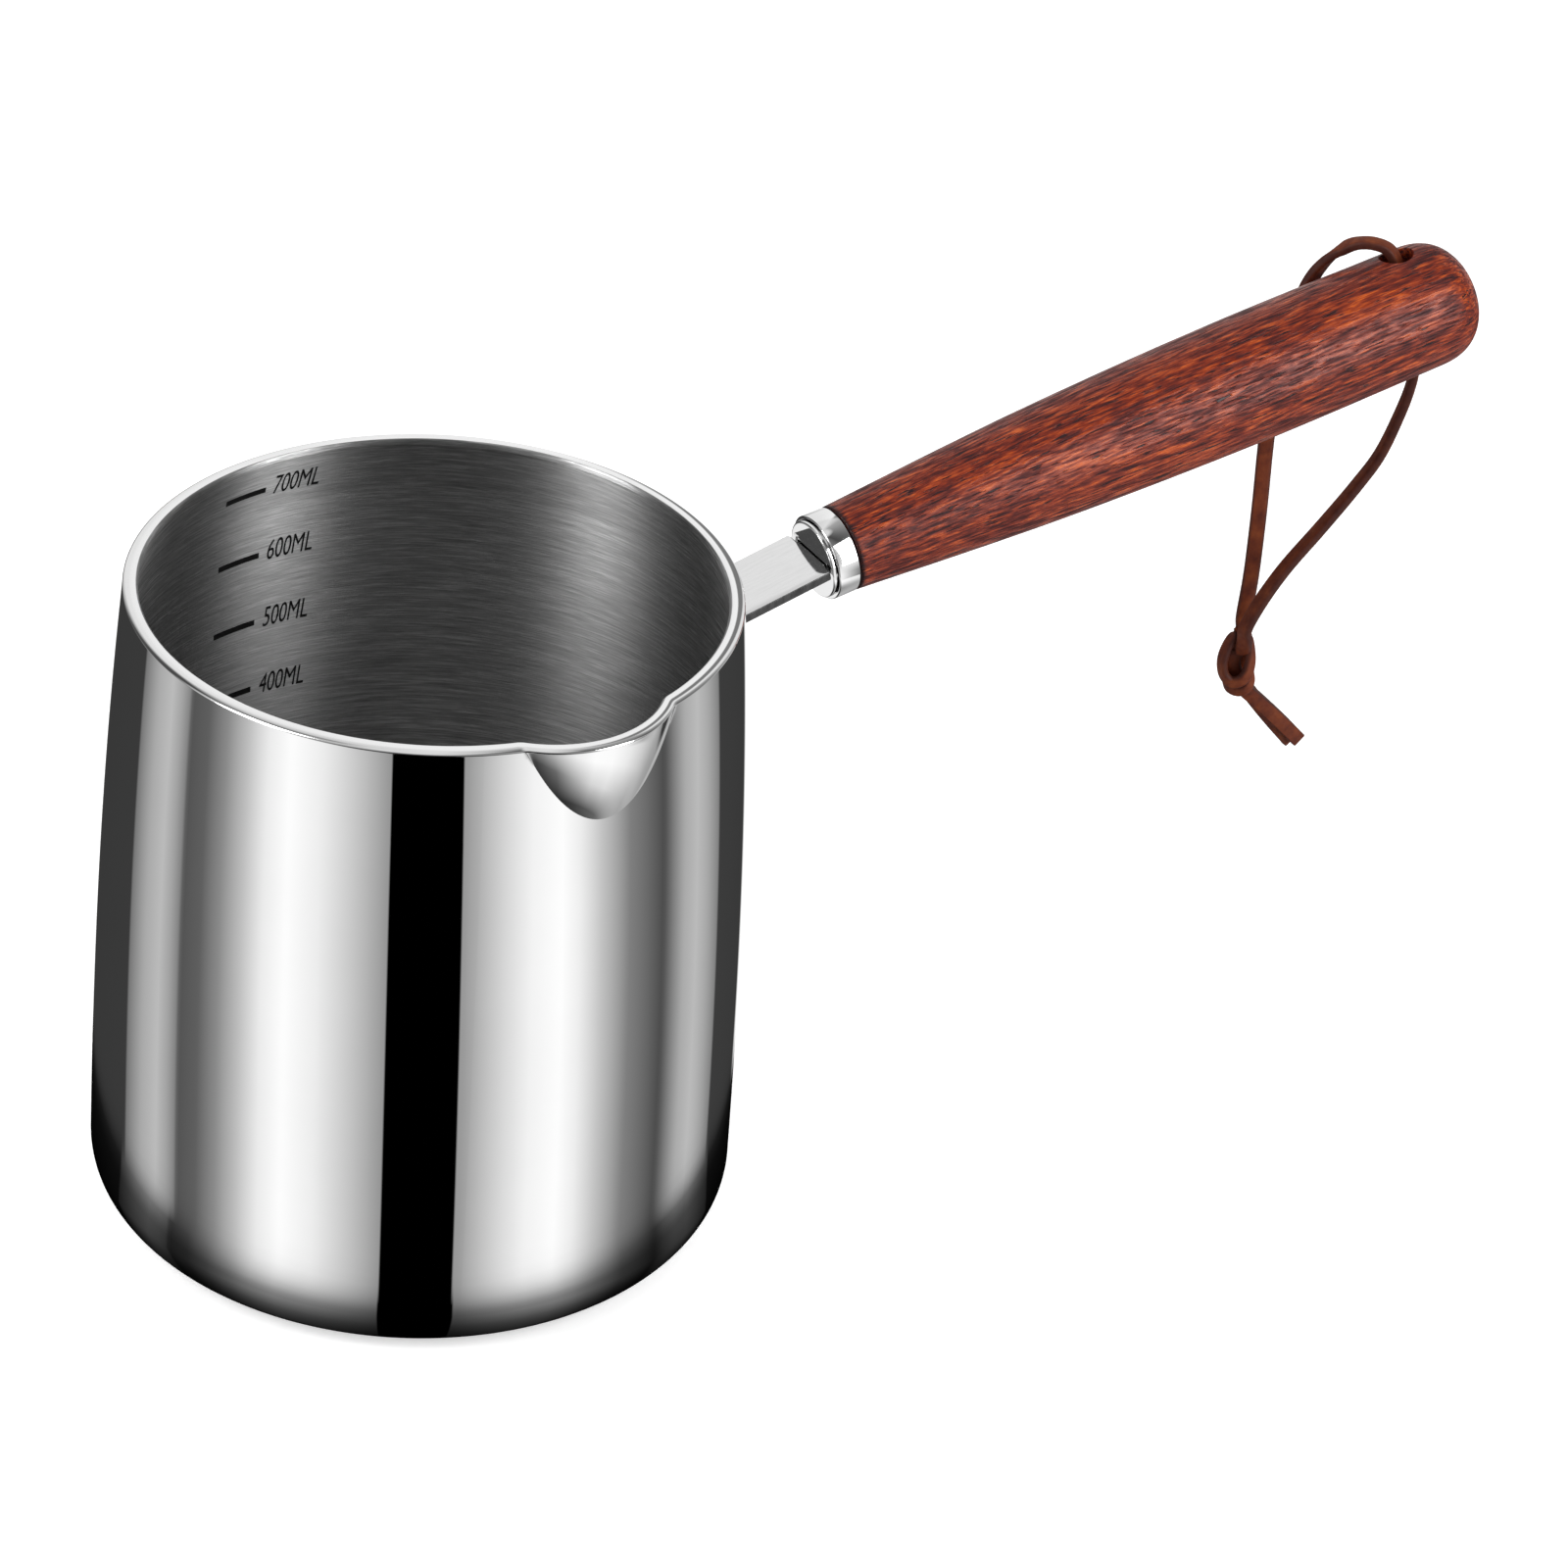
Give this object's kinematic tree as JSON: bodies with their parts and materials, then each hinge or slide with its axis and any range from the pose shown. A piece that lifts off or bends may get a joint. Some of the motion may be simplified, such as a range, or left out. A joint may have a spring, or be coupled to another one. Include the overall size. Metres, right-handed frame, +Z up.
{
  "type": "saucepan",
  "caption": "Small deep steel saucepan with a pouring lip, a welded strap bracket, a turned wooden grip and a knotted leather hanging thong.",
  "frame": {"origin": "middle of the flat base, on the surface that the pan stands on", "axes": "+Z up along the pan's axis, +X towards the grip's tip, the pouring lip near -Y"},
  "size_m": [0.2375, 0.0994, 0.1251],
  "materials": {
    "polished_steel": "mirror polished outside, brushed round inside",
    "satin_steel": "satin",
    "weld_steel": "as welded, brushed clean",
    "ferrule_steel": "polished",
    "stud_steel": "zinc plated",
    "insert_brass": "turned",
    "rosewood": "oiled, red-brown with dark pores",
    "leather": "smooth, dark red-brown, cut edges"
  },
  "bodies": {
    "pan": {"pan_body": "polished_steel", "handle_bracket": "satin_steel", "weld_bead_left": "weld_steel", "weld_bead_right": "weld_steel", "ferrule": "ferrule_steel", "handle_stud": "stud_steel", "threaded_insert": "insert_brass", "wooden_grip": "rosewood"},
    "thong": {"thong_back_run": "leather", "thong_front_run": "leather", "thong_knot": "leather", "thong_tail_long": "leather", "thong_tail_short": "leather"}
  },
  "joints": [
    {"name": "thong_swing", "type": "hinge", "parent": "pan", "child": "thong", "pos_m": [0.17658, 0, 0.11255], "axis": [0.1631, -0.2079, -0.9644], "range_deg": [0, 270]}
  ]
}
